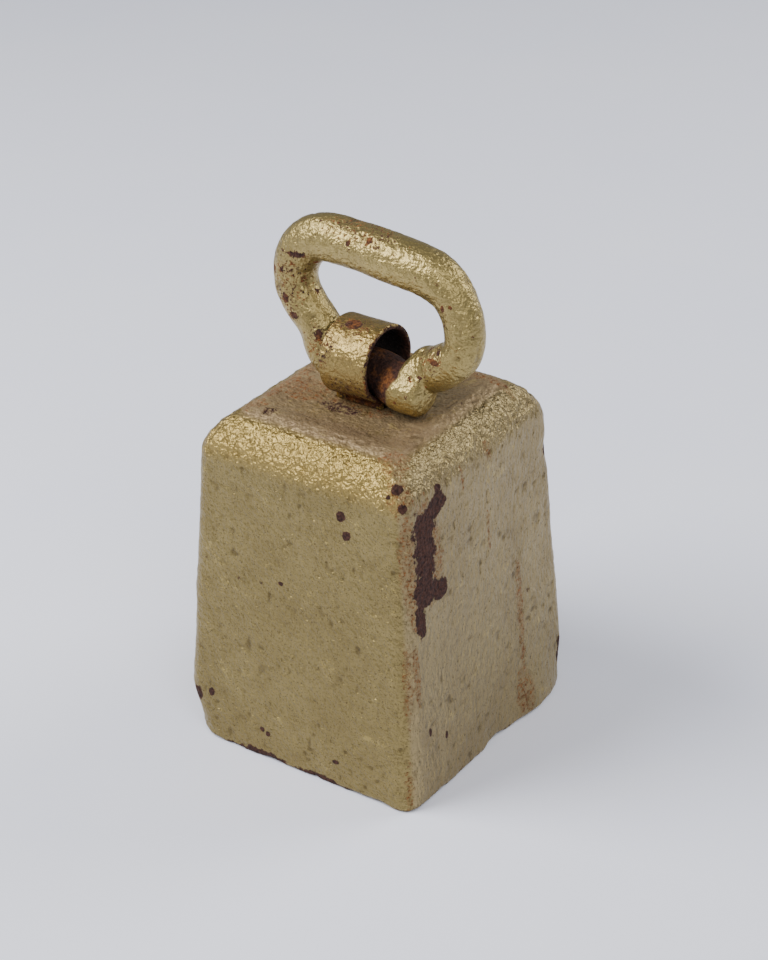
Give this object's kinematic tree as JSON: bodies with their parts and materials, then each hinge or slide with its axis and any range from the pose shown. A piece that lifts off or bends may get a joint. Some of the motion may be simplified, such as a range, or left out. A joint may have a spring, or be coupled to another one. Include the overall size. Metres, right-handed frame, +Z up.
{
  "type": "cowbell",
  "caption": "Forged iron cowbell: four-sided tapered bell, rolled hanger strap, lifting ring that folds down both ways, and a ball clapper on a pin.",
  "frame": {"origin": "middle of the mouth's rim plane, under the middle of the bell", "axes": "+Z up from the mouth to the ring, X along the ring and its hinge, -Y towards the front face, clapper pin along Y"},
  "size_m": [0.1, 0.103, 0.1848],
  "materials": {
    "bell_paint": "aged gold metallic paint over rough forged iron, pitted, with rust",
    "crown_paint": "aged gold metallic paint with a brown rust film",
    "ring_paint": "aged gold metallic paint, brushed and pitted, with rust spots",
    "strap_paint": "aged gold metallic paint on sheet iron, rusty edges",
    "bare_iron": "bare forged iron with brown rust",
    "worn_iron": "bare iron worn by striking, brown in the hollows"
  },
  "bodies": {
    "bell": {"bell_wall": "bell_paint", "crown_cap": "crown_paint", "hanger_strap": "strap_paint", "backing_plate": "bare_iron", "clapper_pin": "bare_iron", "pin_washers": "bare_iron"},
    "clapper": {"clapper_shank": "bare_iron", "clapper_bob": "worn_iron"},
    "ring": {"lifting_ring": "ring_paint"}
  },
  "joints": [
    {"name": "ring_swing", "type": "hinge", "parent": "bell", "child": "ring", "pos_m": [0, 0, 0.1356], "axis": [1, 0, 0], "range_deg": [-87, 99]},
    {"name": "clapper_swing", "type": "hinge", "parent": "bell", "child": "clapper", "pos_m": [0, 0, 0.109], "axis": [0, 1, 0], "range_deg": [-20.5, 20.5]}
  ]
}
